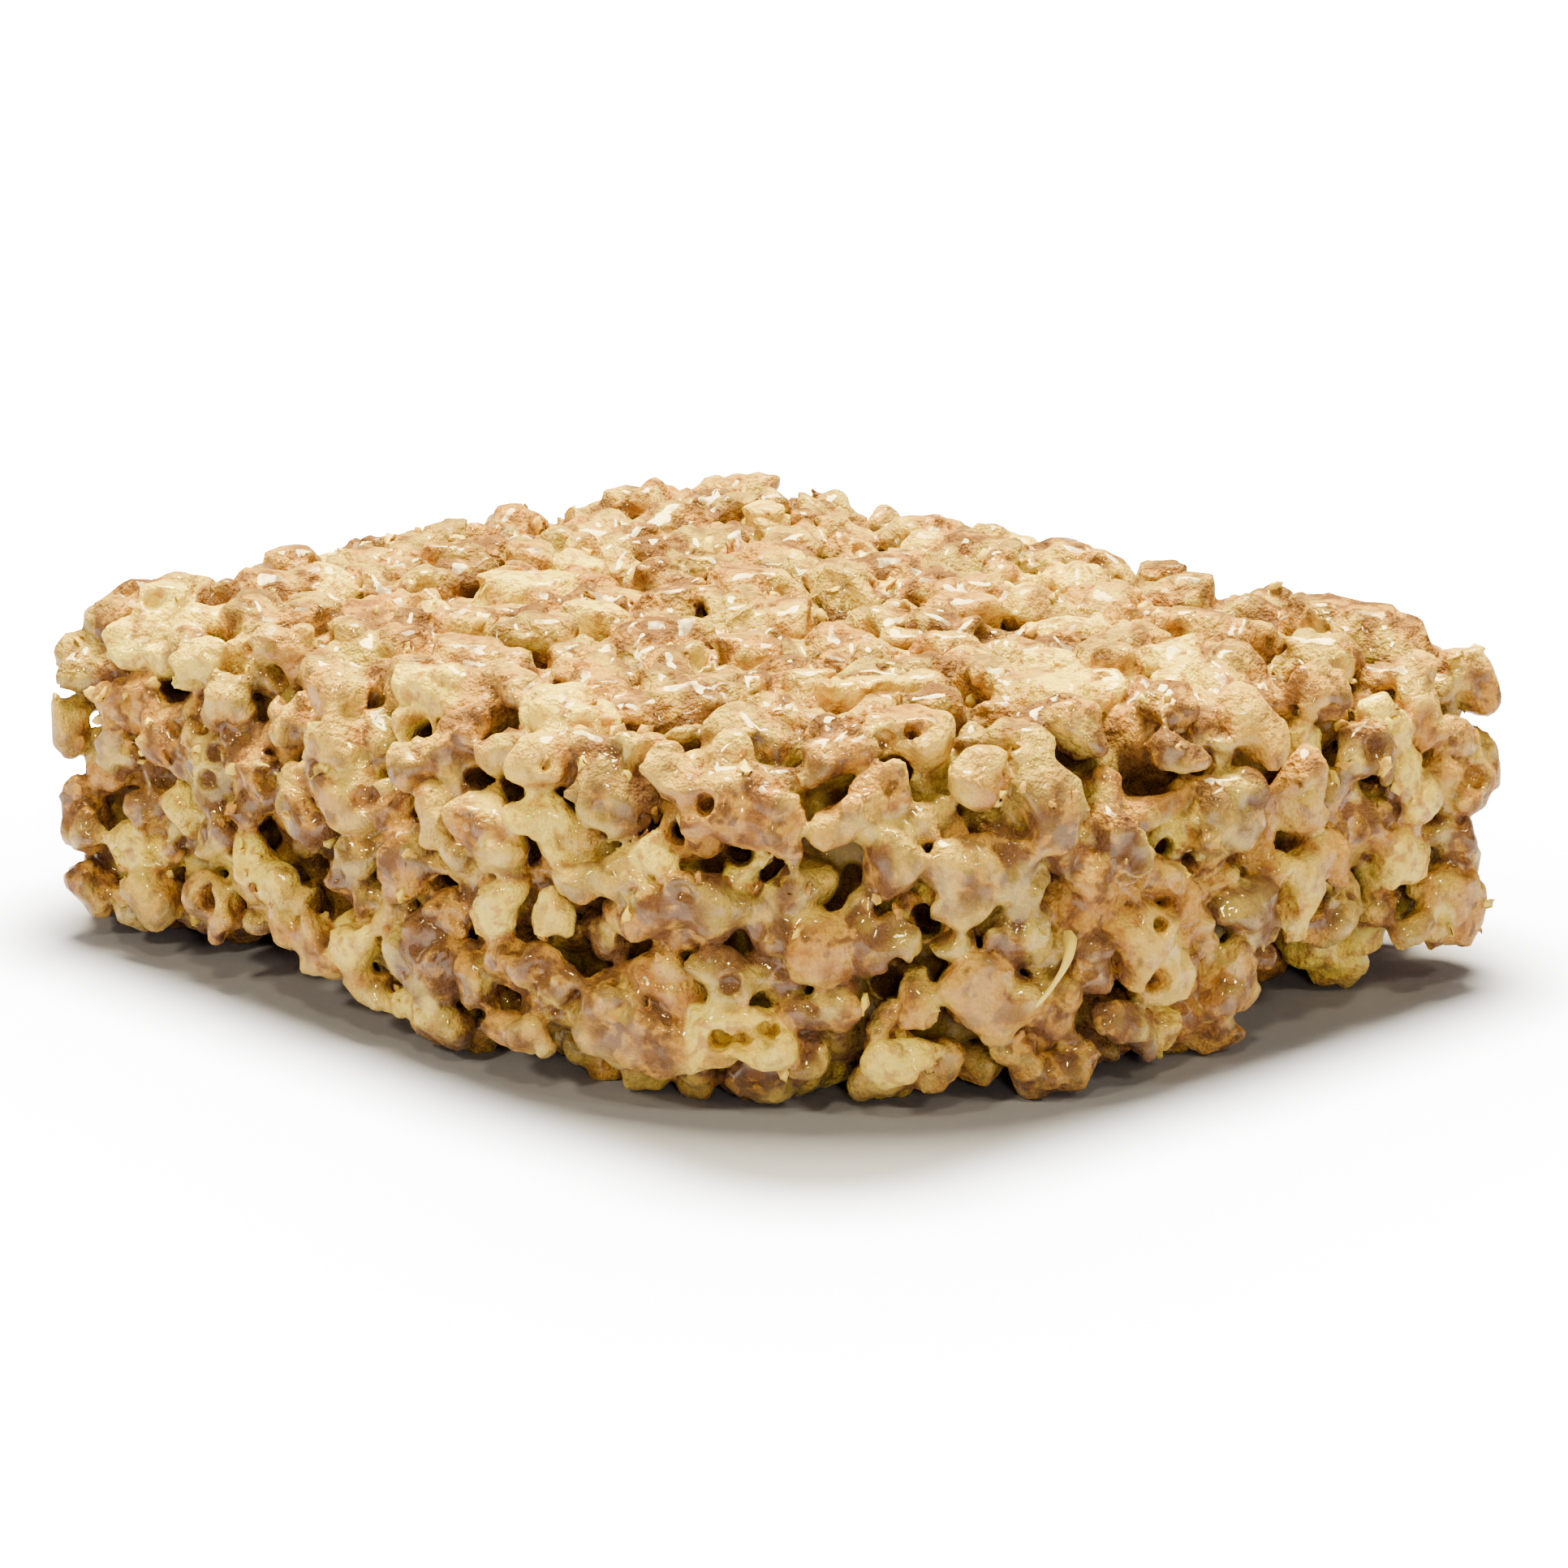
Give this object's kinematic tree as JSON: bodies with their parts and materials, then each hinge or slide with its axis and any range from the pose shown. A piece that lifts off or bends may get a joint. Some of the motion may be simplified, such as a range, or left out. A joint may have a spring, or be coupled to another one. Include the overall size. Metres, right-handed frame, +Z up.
{
  "type": "crisped rice cereal bar",
  "caption": "Thick square-cut bar of crisped rice bound with marshmallow, one corner rounded by the pan, flat underneath.",
  "frame": {"origin": "centre of the bar's bounding box at its flat underside, where it rests on a plate", "axes": "+X along the longer side, towards the end with the large rounded corner; +Y across the bar, away from that corner; +Z up, through the thickness"},
  "size_m": [0.077, 0.0651, 0.0242],
  "materials": {
    "cocoa_puffs": "toasted rice puffs, lightly cocoa coloured, glazed by the binder",
    "plain_puffs": "plain rice puffs, pale yellow",
    "marshmallow": "set marshmallow film, slightly see-through, glossy"
  },
  "bodies": {
    "root": {"cereal_bar": "cocoa_puffs"}
  },
  "joints": []
}
